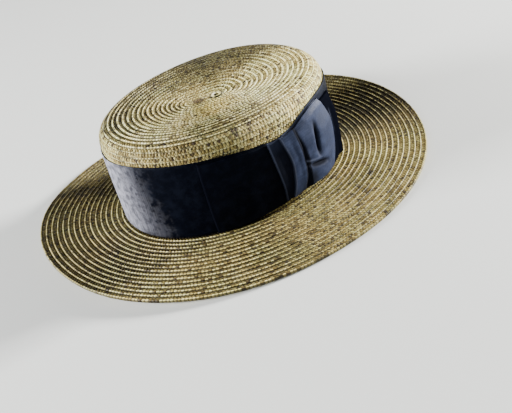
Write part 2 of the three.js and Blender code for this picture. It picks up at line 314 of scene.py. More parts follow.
def rim_line(front, back, inward, wall):
    """Three lines round a sheet's edge; the middle one stands a quarter of the wall further out."""
    step = (front + back) / 2 - inward
    step /= np.linalg.norm(step, axis=-1, keepdims=True)
    return np.stack([front, (front + back) / 2 + step * wall / 4, back])


def around(grid, inset=0):
    """The points round a grid's border, or round the border one cell further in."""
    rows, columns = grid.shape[:2]
    down, across = np.arange(rows), np.arange(columns)
    last_row, last_column = np.full(columns, rows - 1), np.full(rows, columns - 1)
    i = np.concatenate([down, last_row, down[::-1], 0 * across])
    j = np.concatenate([0 * down, across, last_column, across[::-1]])
    return grid[np.clip(i, inset, rows - 1 - inset), np.clip(j, inset, columns - 1 - inset)]


def sheet_sides(middle, wall, ring=False):
    """Front and back grids of a sheet whose middle is a grid of points (columns, rows, 3)."""
    normal = np.cross(slopes(middle, 0, ring), slopes(middle, 1))
    normal /= np.linalg.norm(normal, axis=-1, keepdims=True)
    return middle + normal * wall / 2, middle - normal * wall / 2


def sheet_piece(name, middle, uv, painted_light_shade, wall):
    """A closed ribbon piece from its middle grid; uv is (columns, rows, 2) in millimetres."""
    front, back = sheet_sides(middle, wall)
    rim = rim_line(around(front), around(back), around(middle, 1), wall)
    uvs, painted_light_shade_grids = ([grid, grid, np.stack([around(grid)] * 3)] for grid in (uv, painted_light_shade))
    return make_piece(name, [front, back, rim], uvs, painted_light_shade_grids)


# Brim


def edge_height(run):
    """Height of the brim's edge by the way that it faces."""
    _, _, nx, ny = oval_at(run)
    return BRIM_WIDTH * table_curve(BRIM_EDGE, "turn", "rise", np.degrees(np.arctan2(ny, nx)), 360)


BRIM_PRESSED = 0.65
LOWEST_EDGE = float(edge_height(np.linspace(0, OVAL_LENGTH, 73)[:-1]).min())


def brim_middle(run, out):
    """Level at the crown, then towards the edge's height as (out / width)^BRIM_BEND."""
    share = np.clip(out / BRIM_WIDTH, 0, 1) ** BRIM_BEND
    return BRIM_WALL / 2 + mix(BRIM_LIFT, edge_height(run) - LOWEST_EDGE, share)


def build_brim():
    """Sixteen rings of plait, each with its raised outer edge lying on the next ring.

    The rows are pressed flatter from the bow towards the back.
    """
    stations = 520
    run = np.linspace(0, OVAL_LENGTH, stations + 1)
    pitch = BRIM_WIDTH / BRIM_ROWS
    upper, upper_uv, lower, lower_uv = [], [], [], []

    def ring(out, height):
        return beside(run, out, brim_middle(run, out) + height)

    half = BRIM_WALL / 2
    _, _, nx, ny = oval_at(run)
    turn = np.arctan2(ny, nx)
    relief = 1 - BRIM_PRESSED * smooth((turn + 0.35) / 0.4) * smooth((1.60 - turn) / 0.6)
    for k in range(BRIM_ROWS):
        last = k == BRIM_ROWS - 1
        mid = beside(run, (k + 0.5) * pitch, 0.0)
        length = way_along(mid)
        length *= round(length[-1] / PLAIT_STEP / 2) * 2 * PLAIT_STEP / length[-1]
        begins = waves(run, OVAL_LENGTH, 10 + k, 0.16) * (k > 0)
        ends = waves(run, OVAL_LENGTH, 11 + k, 0.16)
        lift = waves(run, OVAL_LENGTH, 60 + k, 0.05)
        for across, height in zip(ACROSS, HEIGHT):
            out = (k + across) * pitch + mix(begins, ends, across)
            if last:
                out = np.minimum(out, BRIM_WIDTH - 0.05)
                height = min(height, 0.3)
            upper.append(ring(out, half + height * relief + lift))
            upper_uv.append(np.stack([length, np.full_like(length, k + across)], axis=-1))
        for across, height in ((0.9, 0.1), (0.18, 0.28)):
            out = (k + across) * pitch + mix(begins, ends, across)
            lower.append(ring(out, -half + 0.15 - height + lift))
            lower_uv.append(np.stack([length, np.full_like(length, k + across)], axis=-1))
    # The under side's rings go from the edge in to the crown
    order = [2 * k + side for k in reversed(range(BRIM_ROWS)) for side in (0, 1)]
    under, under_uv = ([rings[i] for i in order] for rings in (lower, lower_uv))
    edge = [ring(BRIM_WIDTH + ends * 0.5, -0.15), ring(BRIM_WIDTH - 0.5 + ends * 0.5, -half + 0.1)]
    inner = [ring(-CROWN_WALL, -half), ring(-CROWN_WALL, half - 0.3)]
    rings = inner[1:] + upper + edge + under + inner
    first, last = upper_uv[0], upper_uv[-1]
    uvs = [first] + upper_uv + [last, last] + under_uv + [first, first]
    return make_piece("brim_rows", [np.stack(rings)], [np.stack(uvs)])


# Crown

TOP_REACH = HALF_WIDTH - CROWN_DRAFT - SHOULDER
SIDE_START = TOP_REACH + SHOULDER * math.pi / 2
CROWN_REACH = SIDE_START + SHOULDER_FOOT - CROWN_FOOT

# The plait's start, a short slanting line, and the curl at its back end: the radius, width and
# rise of its ring, the width and depth of its hole, how far it clears and replaces the rows, and
# the part of a row's pattern that it shows
START_HALF = 10.0
START_PLACE = (3.8, -6.2)
START_SLANT = 4.0
CURL_X = START_PLACE[0] + START_SLANT
CURL_Y = START_PLACE[1] + START_HALF
CURL_RING = 3.5
CURL_RING_WIDTH = 1.1
CURL_RING_RISE = 0.95
CURL_HOLE_WIDTH = 1.6
CURL_HOLE_DEPTH = 0.90
CURL_CLEAR = 4.4
CURL_EDGE = 5.4
CURL_ROWS = 14.0
CURL_SEAM = 1.9
CURL_ROW_WIDTH = 7.5


def crown_point(run, reach, inset=0.0):
    """(points, normals) of the crown's skin at a distance from its middle.

    The middle is a short slanting line; rows round it are ovals (d cos t, (10 + d) sin t) that
    change smoothly into the crown's own oval. The top sags towards its middle. Then come the
    shoulder's arc and the wall.
    """
    x, y, nx, ny = oval_at(run)
    d = np.clip(reach, 0, TOP_REACH)
    even = 2 * np.pi * run / OVAL_LENGTH
    turned = np.arctan2(y / HALF_LENGTH, x / HALF_WIDTH)
    off = np.mod(turned - even + np.pi, 2 * np.pi) - np.pi
    t = even + off * smooth(d / 20)
    power = mix(2.8, OVAL_POWER, d / TOP_REACH)
    c, s = np.cos(t), np.sin(t)
    size = (np.abs(c) ** power + np.abs(s) ** power) ** (-1 / power)
    share = smooth((d - 25) / (TOP_REACH - 25))
    away = (1 - d / TOP_REACH) ** 2
    top_x = mix(d * c * size, x + nx * (d - HALF_WIDTH), share)
    top_x = top_x + (START_PLACE[0] + START_SLANT * s) * away
    top_y = mix((START_HALF + d) * s * size, y + ny * (d - HALF_WIDTH), share)
    top_y = top_y + START_PLACE[1] * away
    flat_x, flat_y = TOP_REACH - TOP_RING, HALF_LENGTH - CROWN_DRAFT - SHOULDER - TOP_RING
    level = np.abs(top_x / flat_x) ** OVAL_POWER + np.abs(top_y / flat_y) ** OVAL_POWER
    level = level ** (1 / OVAL_POWER)
    top_z = CROWN_TOP - inset - TOP_SAG * np.clip(1 - level**2, 0, 1) ** 1.4
    bend = np.clip((reach - TOP_REACH) / SHOULDER, 0, math.pi / 2)
    radius = SHOULDER - inset
    out = -CROWN_DRAFT - SHOULDER + radius * np.sin(bend)
    z = SHOULDER_FOOT + radius * np.cos(bend)
    fall = np.clip(reach - SIDE_START, 0, CROWN_REACH - SIDE_START)
    z = z - fall
    out = np.where(fall > 0, wall_out(z) - inset, out)
    on_top = reach <= TOP_REACH
    points = np.stack(
        [
            np.where(on_top, top_x, x + nx * out),
            np.where(on_top, top_y, y + ny * out),
            np.where(on_top, top_z, z),
        ],
        axis=-1,
    )
    lean, rise = np.sin(bend), np.cos(bend)
    normals = np.stack([nx * lean, ny * lean, rise], axis=-1)
    return points, normals


def build_crown():
    """A plait wound in a spiral from the middle of the top, over the shoulder and down the wall.

    At the start's back end the plait curls round a small hole. The rows are lower towards the back
    of the top and past EDGE_ROW, and the rows that the ribbon covers are plain.
    """
    stations = 360
    column = np.arange(stations + 1) / stations
    run = column * OVAL_LENGTH
    covered = SIDE_START + SHOULDER_FOOT - ROOT_TOP - PLAIN_UP_TO * BAND_WIDTH
    shown_rows = math.ceil(covered / CROWN_ROW)
    grids, uvs = [], []
    along = 0.0

    def add(place, length, row, height):
        fade = np.clip((place - 0.4) / 1.5, 0, 1) * np.clip((shown_rows - place) / 0.5, 0, 1)
        wobble = 0.13 * np.sin(place * 23.1) + 0.10 * np.sin(place * 61.7 + 1.0)
        points, normals = crown_point(run, place * CROWN_ROW + wobble * fade)
        lift = 0.05 * np.sin(place * 37.3 + 2.0)
        low = mix(1.0, 0.3, smooth((place - EDGE_ROW) / 0.6))
        low = low * mix(1.0, 0.45, smooth((points[:, 1] - 5) / 35))
        curl_x, curl_y = points[:, 0] - CURL_X, points[:, 1] - CURL_Y
        away = np.hypot(curl_x, curl_y)
        curl = CURL_RING_RISE * bell(away - CURL_RING, CURL_RING_WIDTH)
        curl = curl - CURL_HOLE_DEPTH * bell(away, CURL_HOLE_WIDTH)
        on_top = place * CROWN_ROW < CURL_ROWS
        rise = (height + lift) * fade * low * (1 - on_top * bell(away, CURL_CLEAR)) + curl * on_top
        grids.append(points + normals * rise[:, None])
        in_curl = on_top & (away < CURL_EDGE)
        turned = np.arctan2(curl_x, curl_y) * 2 * PLAIT_STEP / math.pi
        curl_row = np.clip(CREST + (away - CURL_RING) / CURL_ROW_WIDTH, 0.6, 0.97)
        curl_row = np.where(away < CURL_SEAM, 0.03, curl_row)
        way = np.where(in_curl, turned, length)
        uvs.append(np.stack([way, np.where(in_curl, curl_row, row)], axis=-1))

    for k in range(-1, shown_rows):
        turns = k + column
        mid = crown_point(run, np.maximum((turns + 0.5) * CROWN_ROW, 0))[0]
        length = along + way_along(mid)
        along = length[-1]
        for across, height in zip(ACROSS, HEIGHT):
            add(np.clip(turns + across, 0, shown_rows), length, k + across, height)
    for reach in np.linspace(shown_rows * CROWN_ROW, CROWN_REACH, 6):
        grids.append(crown_point(run, np.full_like(run, reach))[0])
        uvs.append(np.stack([along + run, np.full_like(run, reach / CROWN_ROW)], axis=-1))
    outer = np.stack(grids)
    outer_uv = np.stack(uvs)

    reaches = np.concatenate(
        [
            np.linspace(CROWN_REACH, SIDE_START, 9),
            np.linspace(SIDE_START, TOP_REACH, 7)[1:],
            np.linspace(TOP_REACH, 0, 13)[1:],
        ]
    )
    skins = [crown_point(run, np.full(stations + 1, r), CROWN_WALL)[0] for r in reaches]
    inner = np.stack([outer[-1]] + skins)
    reaches = np.concatenate([reaches[:1], reaches])
    way = np.stack([run * max(r, 8) / TOP_REACH for r in reaches])
    inner_uv = np.stack([way, reaches[:, None] / CROWN_ROW * np.ones(stations + 1)], axis=-1)
    return make_piece("crown_rows", [outer, inner], [outer_uv, inner_uv])


# Ribbon band and bow


def band_heights(run):
    """(low, high) edges of the band after a run, as heights."""
    around = run / OVAL_LENGTH
    low = ROOT_TOP + BAND_WIDTH * table_curve(BAND_EDGES, "around", "low", around, 1)
    high = ROOT_TOP + BAND_WIDTH * table_curve(BAND_EDGES, "around", "high", around, 1)
    return low, high


def build_band():
    """The band follows the crown's wall, its face a little slack between its two edges.

    Painted light makes its top edge paler above the bow's back loop. Below that edge, painted
    shade darkens it from the loop's end towards the back.
    """
    run = np.linspace(0, OVAL_LENGTH, 481)[:, None]
    up = np.linspace(0, 1, 25)[None, :]
    low, high = band_heights(run)
    z = mix(low, high, up)
    slack = 0.12 * np.sin(np.pi * up) * (1 + waves(run, OVAL_LENGTH, 5, 0.6))
    out = wall_out(z) + GAP + 0.15 + BAND_WALL / 2 + slack
    middle = beside(run, out, z)
    uv = np.stack(np.broadcast_arrays(run, z), axis=-1)
    wall = BAND_WALL * 0.7
    front, back = sheet_sides(middle, wall, ring=True)
    rims = [
        rim_line(front[:, 0], back[:, 0], middle[:, 1], wall),
        rim_line(front[:, -1], back[:, -1], middle[:, -2], wall),
    ]
    # Painted light along the top edge over the back loop, and painted shade past that loop's end
    light = smooth((z - high + 9) / 3) * smooth((run - 7) / 6) * smooth((84 - run) / 14)
    light = light * mix(1.0, 0.12, smooth((run - 34) / 22))
    shade = smooth((run - 58) / 8) * smooth((190 - run) / 40) * smooth((high - 7 - z) / 6)
    painted_light_shade = np.stack([shade, light], axis=-1)
    uvs, painted_light_shade_grids = (
        [grid, grid, np.stack([grid[:, 0]] * 3), np.stack([grid[:, -1]] * 3)] for grid in (uv, painted_light_shade)
    )
    return make_piece("ribbon_band", [front, back] + rims, uvs, painted_light_shade_grids)


def groove(x, z, line, width):
    """1 on a crease line of points (run, height), fading out as exp(-(distance / width)^2).

    It also fades towards the line's two ends.
    """
    best = np.full(np.broadcast(x, z).shape, 1e9)
    fade = np.zeros_like(best)
    lengths = [math.dist(a[:2], b[:2]) for a, b in zip(line[:-1], line[1:])]
    total = sum(lengths)
    done = 0.0
    for (x0, z0), (x1, z1), length in zip(line[:-1], line[1:], lengths):
        t = np.clip(((x - x0) * (x1 - x0) + (z - z0) * (z1 - z0)) / length**2, 0, 1)
        away = np.hypot(x - mix(x0, x1, t), z - mix(z0, z1, t))
        nearer = away < best
        best = np.where(nearer, away, best)
        fade = np.where(nearer, (done + t * length) / total, fade)
        done += length
    ends = np.sin(np.pi * np.clip(0.06 + 0.88 * fade, 0, 1)) ** 0.6
    return bell(best, width) * ends


FIRST_SEAT = GAP + BAND_WALL + GAP + RIBBON_WALL / 2
PRESSED = 2 * RIBBON_WALL + LAYER_SPACE
SECOND_SEAT = FIRST_SEAT + PRESSED + GAP
KNOT_LEFT = FIRST_SEAT + PRESSED + GAP - RIBBON_WALL / 2 + KNOT_WALL / 2
KNOT_RIGHT = SECOND_SEAT + PRESSED + GAP - RIBBON_WALL / 2 + KNOT_WALL / 2


def build_loop(name, side, reach, seat, corner, lows, highs, lean, rise, painted_light_shade, columns, rows):
    """A loop: an inner layer on the wall, a half turn at its end and an outer layer.

    side is 1 towards the back and -1 towards the front, reach goes from the knot's place to the
    loop's end and seat is how far out the inner layer lies. corner is how far the end's lower and
    upper corner are drawn in. lows and highs are how far the edges stay inside the band's, at the
    knot and at the end. corner, lows and highs are in band widths.
    rise(run, z, along, up) is how far the outer layer stands off its pressed place, and the
    function after it gives at (run, z) the painted shade in its creases and shaded places and its
    painted light. The top edge leans in to the wall.
    """
    tuck = KNOT_WIDTH / 2 - LOOP_TUCK

    def place(along, up):
        draw = BAND_WIDTH * np.where(up > 0.5, corner[1], corner[0]) * (2 * up - 1) ** 2
        return KNOT_PLACE + side * mix(tuck, reach - draw, along)

    def height(along, up):
        low, high = band_heights(place(along, 0.5 + 0 * up))
        bottom = low + mix(lows[0], lows[1], along) * BAND_WIDTH
        top = high - mix(highs[0], highs[1], along) * BAND_WIDTH
        return mix(bottom, top, up)

    up = np.linspace(0, 1, rows)[None, :]
    along = np.linspace(0, TURN_SHARE, columns)[:, None]
    seat = seat - lean * smooth((up - 0.91) / 0.09)
    pressed = seat + RIBBON_WALL + LAYER_SPACE

    def outer_out(along):
        z = height(along, up)
        return pressed + rise(place(along, up), z - ROOT_TOP, along, up)

    at_turn = outer_out(np.array([[TURN_SHARE]]))
    radius = (at_turn - seat) / 2
    bends = np.radians(np.linspace(-90, 90, 11)[1:-1])[:, None]
    z_in = height(along, up)
    inner = beside(place(along, up), wall_out(z_in) + seat, z_in)
    z_turn = height(TURN_SHARE + 0 * bends, up)
    turn = beside(
        place(TURN_SHARE, up) + side * radius * np.cos(bends),
        wall_out(z_turn) + seat + radius + radius * np.sin(bends),
        z_turn,
    )
    outer = beside(place(along, up), wall_out(z_in) + outer_out(along), z_in)
    middle = np.concatenate([inner, turn, outer[::-1]])
    runs = np.concatenate(
        [
            np.broadcast_to(place(along, up), z_in.shape),
            place(TURN_SHARE, up) + side * radius * np.cos(bends),
            np.broadcast_to(place(along, up), z_in.shape)[::-1],
        ]
    )
    uv = np.stack([runs + BOW_CLOTH_START, middle[..., 2]], axis=-1)
    return sheet_piece(name, middle, uv, painted_light_shade(runs, middle[..., 2] - ROOT_TOP), RIBBON_WALL)


def front_rise(run, z, along, up):
    """Nearly flat, with two shallow creases and a low ridge that start at the knot."""
    open_by = 1.4 * smooth((along - 0.15) / 0.8) + 0.5 * np.sin(np.pi * np.clip(along, 0, 1))
    near = groove(run, z, [(-8, 38), (-26, 35), (-44, 36)], 3.0)
    low = groove(run, z, [(-6, 22), (-24, 20), (-38, 22)], 4.0)
    ridge = groove(run, z, [(-8, 42), (-30, 39)], 2.5)
    return open_by * (1 - 0.55 * near - 0.45 * low) + 0.5 * ridge


def under_rise(run, z, along, up):
    """Flat under the back loop, open at its end and closed at its corners."""
    return 2.4 * smooth((along - 0.84) / 0.12) * (1 - 0.9 * smooth((up - 0.55) / 0.45))


UPRIGHT = [(39.8, 58), (38.4, 50.3), (37.4, 41.7), (36.3, 30)]
SLANT = [(25.0, 26.2), (33.5, 23.7), (42.5, 20.9)]


def back_rise(run, z, along, up):
    """Puffed cloth, drawn in to the wall along its top edge, with three creases.

    A deep upright crease stands behind the middle, a slanting one lies below it under a soft
    crest, and the foot puffs out over the brim.
    """
    share = np.clip((along - 0.06) / (TURN_SHARE - 0.06), 0, 1)
    puff = 2.7 * smooth(share * 5.5) + 1.3 * np.sin(np.pi * share)
    top = smooth((up - 0.60) / 0.38)
    upright = groove(run, z, UPRIGHT, 1.9)
    wide = groove(run, z, [(39.6, 54), (37.6, 41), (36.4, 32)], 3.6)
    slant = groove(run, z, SLANT, 1.8)
    crest = groove(run, z, [(17, 37.5), (25.5, 34.0), (35, 30.0)], 2.8)
    foot = groove(run, z, [(27, 14), (42, 12)], 4.0)
    body = puff * (1 - 0.94 * top) * (1 - 0.62 * upright - 0.20 * wide) * (1 - 0.62 * slant)
    return body + 0.4 * crest + 0.5 * foot


def front_loop_painted_shade(run, z):
    """Painted shade on the loop's turned end."""
    shade = smooth((-run - 56) / 4) + 0 * z
    return np.stack([shade, 0 * shade], axis=-1)


def under_loop_painted_light_shade(run, z):
    """Painted shade all over, and one painted highlight line near the loop's end."""
    light = 0.38 * groove(run, z, [(72, 50), (74, 40), (74.5, 28)], 0.7)
    return np.stack([1 - light, light], axis=-1)


def back_loop_painted_light_shade(run, z):
    """Painted shade in the two creases and beside the knot, and a painted highlight on the crest.
    """
    edge = KNOT_PLACE + KNOT_WIDTH * table_curve(KNOT_LINES, "up", "right", z / BAND_WIDTH)
    low_slant = [(x, up - 0.6) for x, up in SLANT]
    slot, slant = groove(run, z, UPRIGHT, 1.9), groove(run, z, low_slant, 2.3)
    shade = np.clip(1.5 * np.maximum(slot, slant), 0, 1)
    shade = np.maximum(shade, bell(np.maximum(run - edge - 1.6, 0), 1.2))
    low_shade = 0.85 * bell(np.maximum(run - edge - 4.0, 0), 2.5) * smooth((24 - z) / 8)
    shade = np.maximum(shade, low_shade)
    light = groove(run, z, [(18, 33.7), (25.5, 30.3), (34, 28.0)], 0.8)
    return np.stack([shade, light], axis=-1)


def through(points, samples):
    """A smooth curve through points (number, ..., n): between two of them a cubic whose slopes
    are half the way between the points' neighbours."""
    count = len(points)
    value = np.linspace(0, count - 1, samples)
    i = np.clip(value.astype(int), 0, count - 2)
    t = (value - i).reshape([-1] + [1] * (points.ndim - 1))
    before = points[np.maximum(i - 1, 0)]
    start, end = points[i], points[i + 1]
    after = points[np.minimum(i + 2, count - 1)]
    slope_start, slope_end = (end - before) / 2, (after - start) / 2
    bend = t * (1 - t) * ((1 - t) * (slope_start - (end - start)) - t * (slope_end - (end - start)))
    return mix(start, end, t) + bend


def build_knot():
    """Two upright pleats with rounded folds, the right one lapped over the left one.

    The section is a curve through points that lie so far from the left edge, the fold line or
    the right edge, and so far out from the seat on the left or on the right.
    """
    up = np.linspace(0, 1, 41)
    left, fold, right = (
        KNOT_PLACE + KNOT_WIDTH * table_curve(KNOT_LINES, "up", key, up)
        for key in ("left", "fold", "right")
    )
    first, second = (left + fold) / 2, (fold + right) / 2
    slack = 0.25 * np.sin(np.pi * up)
    lay = [
        (left + 4.0, KNOT_LEFT + 0.0),
        (left + 1.0, KNOT_LEFT + 0.02),
        (left, KNOT_LEFT + 0.5),
        (left + 1.0, KNOT_LEFT + 1.0),
        (first, KNOT_LEFT + 0.95 + slack),
        (fold - 0.8, KNOT_LEFT + 0.9),
        (fold + 1.8, KNOT_LEFT + 0.9),
        (fold + 2.6, KNOT_LEFT + 1.35),
        (fold + 1.6, KNOT_LEFT + 1.85),
        (fold + 0.4, KNOT_LEFT + 1.95),
        (fold - 0.3, KNOT_LEFT + 2.5),
        (fold + 0.8, KNOT_LEFT + 3.1),
        (mix(fold, right, 0.35), KNOT_RIGHT + 0.75 + slack),
        (second + 2.0, KNOT_RIGHT + 0.85 + 1.6 * slack),
        (right - 2.0, KNOT_RIGHT + 1.15),
        (right - 0.5, KNOT_RIGHT + 0.85),
        (right - 0.3, KNOT_RIGHT + 0.25),
        (right - 1.6, KNOT_RIGHT + 0.0),
        (right - 3.4, KNOT_RIGHT + 0.0),
    ]
    run = through(np.stack([x + 0 * up for x, _ in lay]), 109)
    out = through(np.stack([o + 0 * up for _, o in lay]), 109)
    low, high = band_heights(run)
    over = smooth((run - left) / (right - left))
    z = mix(low + mix(3.0, 5.5, over), high + mix(1.0, 2.6, over), up)
    creases = 0.3 * groove(run, z, [(3, 62), (2.5, 46), (5, 30)], 1.4)
    creases = creases + 0.3 * groove(run, z, [(13, 62), (16, 44), (16, 26)], 1.8)
    middle = beside(run, wall_out(z) + out - creases * (out > KNOT_LEFT + 0.8), z)
    uv = np.stack([way_along(middle) + BOW_CLOTH_START, z], axis=-1)
    # Painted shade on the left pleat, along the right edge and low on the knot, and painted
    # highlights along the left edge and the fold
    on_left = run < np.broadcast_to(fold, run.shape) + 0.2
    shade = np.where(on_left, 0.9, 0.0) * (1 - 0.5 * smooth((z - ROOT_TOP - 48) / 14))
    shade = np.maximum(shade, smooth((run - right + 2.4) / 1.0))
    shade = np.maximum(shade, 0.62 * smooth((ROOT_TOP + 20 - z) / 14))
    light = bell(run - left - 0.6, 0.45) * mix(0.3, 0.8, up)
    light = np.maximum(light, bell(run - fold - 0.5, 0.5))
    shade = shade * (1 - light)
    painted_light_shade = np.stack([shade, light], axis=-1)
    return sheet_piece("bow_knot_pleats", middle, uv, painted_light_shade, 0.75 * KNOT_WALL)


# Materials


class Nodes:
    """Short ways to add nodes to a tree; every way gives back the new node's first output."""

    def __init__(self, tree):
        self.tree = tree
        tree.nodes.clear()

    def node(self, kind, values=(), **settings):
        node = self.tree.nodes.new(kind)
        for key, value in settings.items():
            setattr(node, key, value)
        for key, value in dict(values).items():
            self.feed(node.inputs[key], value)
        return node

    def feed(self, socket, value):
        if isinstance(value, bpy.types.NodeSocket):
            self.tree.links.new(value, socket)
        else:
            socket.default_value = value

    def math(self, operation, *values):
        node = self.tree.nodes.new("ShaderNodeMath")
        node.operation = operation
        for socket, value in zip(node.inputs, values):
            self.feed(socket, value)
        return node.outputs[0]

    def times(self, a, b):
        return self.math("MULTIPLY", a, b)

    def plus(self, a, b):
        return self.math("ADD", a, b)

    def minus(self, a, b):
        return self.math("SUBTRACT", a, b)

    def over(self, a, b):
        return self.math("DIVIDE", a, b)

    def larger(self, a, b):
        return self.math("MAXIMUM", a, b)

    def scaled(self, value, factor, added):
        return self.math("MULTIPLY_ADD", value, factor, added)

    def mix(self, share, a, b):
        node = self.tree.nodes.new("ShaderNodeMix")
        node.data_type = "FLOAT"
        for key, value in ((0, share), (2, a), (3, b)):
            self.feed(node.inputs[key], value)
        return node.outputs[0]

    def color(self, share, a, b, how="MIX"):
        node = self.tree.nodes.new("ShaderNodeMix")
        node.data_type = "RGBA"
        node.blend_type = how
        for key, value in ((0, share), (6, a), (7, b)):
            self.feed(node.inputs[key], value)
        return node.outputs[2]

    def span(self, value, low, high, to_low=0.0, to_high=1.0):
        """Smooth step of value from low to high."""
        node = self.node(
            "ShaderNodeMapRange",
            {
                "Value": value,
                "From Min": low,
                "From Max": high,
                "To Min": to_low,
                "To Max": to_high,
            },
            interpolation_type="SMOOTHSTEP",
        )
        return node.outputs[0]

    def window(self, value, places):
        """0 outside the outer two of four places and 1 between the inner two."""
        rising = self.span(value, places[0], places[1])
        return self.times(rising, self.span(value, places[2], places[3], 1.0, 0.0))

    def flat(self, x, y):
        return self.node("ShaderNodeCombineXYZ", {"X": x, "Y": y}).outputs[0]

    def split(self, vector):
        """A vector's first two parts."""
        parts = self.node("ShaderNodeSeparateXYZ", {"Vector": vector}).outputs
        return parts[0], parts[1]

    def distance(self, a, b):
        node = self.node("ShaderNodeVectorMath", {0: a, 1: b}, operation="DISTANCE")
        return node.outputs["Value"]

    def uv(self, name):
        return self.node("ShaderNodeUVMap", uv_map=name).outputs[0]

    def grey(self, value):
        parts = {"Red": value, "Green": value, "Blue": value}
        return self.node("ShaderNodeCombineColor", parts).outputs[0]

    def bump(self, height):
        """Normals from heights in millimetres."""
        values = {"Strength": 1.0, "Distance": 0.001, "Height": height}
        return self.node("ShaderNodeBump", values).outputs[0]

    def surface(self, values):
        """A shader with these values, as the material's surface."""
        shader = self.node("ShaderNodeBsdfPrincipled", values)
        output = self.node("ShaderNodeOutputMaterial")
        self.tree.links.new(shader.outputs[0], output.inputs[0])

    def chance(self, x, y):
        """A random value for each whole x and y."""
        place = self.flat(x, y)
        return self.node("ShaderNodeTexWhiteNoise", {"Vector": place}).outputs["Value"]

    def noise(self, place, scale, detail=3.0, rough=0.55):
        node = self.node(
            "ShaderNodeTexNoise",
            {"Vector": place, "Scale": scale, "Detail": detail, "Roughness": rough},
        )
        return node.outputs[0]

    def ramp(self, value, stops):
        """Colours at places from 0 to 1."""
        node = self.node("ShaderNodeValToRGB", {"Fac": value})
        ramp = node.color_ramp
        while len(ramp.elements) < len(stops):
            ramp.elements.new(0.5)
        for element, (place, color) in zip(ramp.elements, stops):
            element.position = place
            element.color = (*color, 1.0)
        return node.outputs[0]


def new_group(name, inputs, outputs):
    """A shader node group with float inputs and (name, kind) outputs."""
    tree = bpy.data.node_groups.new(name, "ShaderNodeTree")
    for key in inputs:
        tree.interface.new_socket(key, in_out="INPUT", socket_type="NodeSocketFloat")
    for key, kind in outputs:
        tree.interface.new_socket(key, in_out="OUTPUT", socket_type=kind)
    nodes = Nodes(tree)
    return nodes, nodes.node("NodeGroupInput").outputs, nodes.node("NodeGroupOutput").inputs


def new_material(name):
    """A material and the ways to add nodes to it."""
    material = bpy.data.materials.new(name)
    material.use_nodes = True
    return material, Nodes(material.node_tree)


# Colours of the straws across a row, of its raised edge and of the dark flecks
FIELD_TONES = [
    (0.0, (0.030, 0.020, 0.018)),
    (0.05, (0.060, 0.036, 0.018)),
    (0.13, (0.17, 0.115, 0.036)),
    (0.34, (0.33, 0.240, 0.078)),
    (0.70, (0.49, 0.385, 0.145)),
    (1.0, (0.68, 0.58, 0.28)),
]
EDGE_TONES = [
    (0.0, (0.045, 0.030, 0.022)),
    (0.05, (0.13, 0.09, 0.040)),
    (0.16, (0.50, 0.41, 0.17)),
    (0.55, (0.72, 0.62, 0.31)),
    (1.0, (0.88, 0.80, 0.50)),
]
FLECK_TONES = [
    (0.0, (0.012, 0.008, 0.006)),
    (0.5, (0.028, 0.018, 0.010)),
    (1.0, (0.065, 0.038, 0.018)),
]

# Millimetres along a row for each fleck and each dark dash, and a row's width for the flecks
FLECK_STEP = 3.4
DASH_STEP = 6.5
FLECK_ROW = 4.6


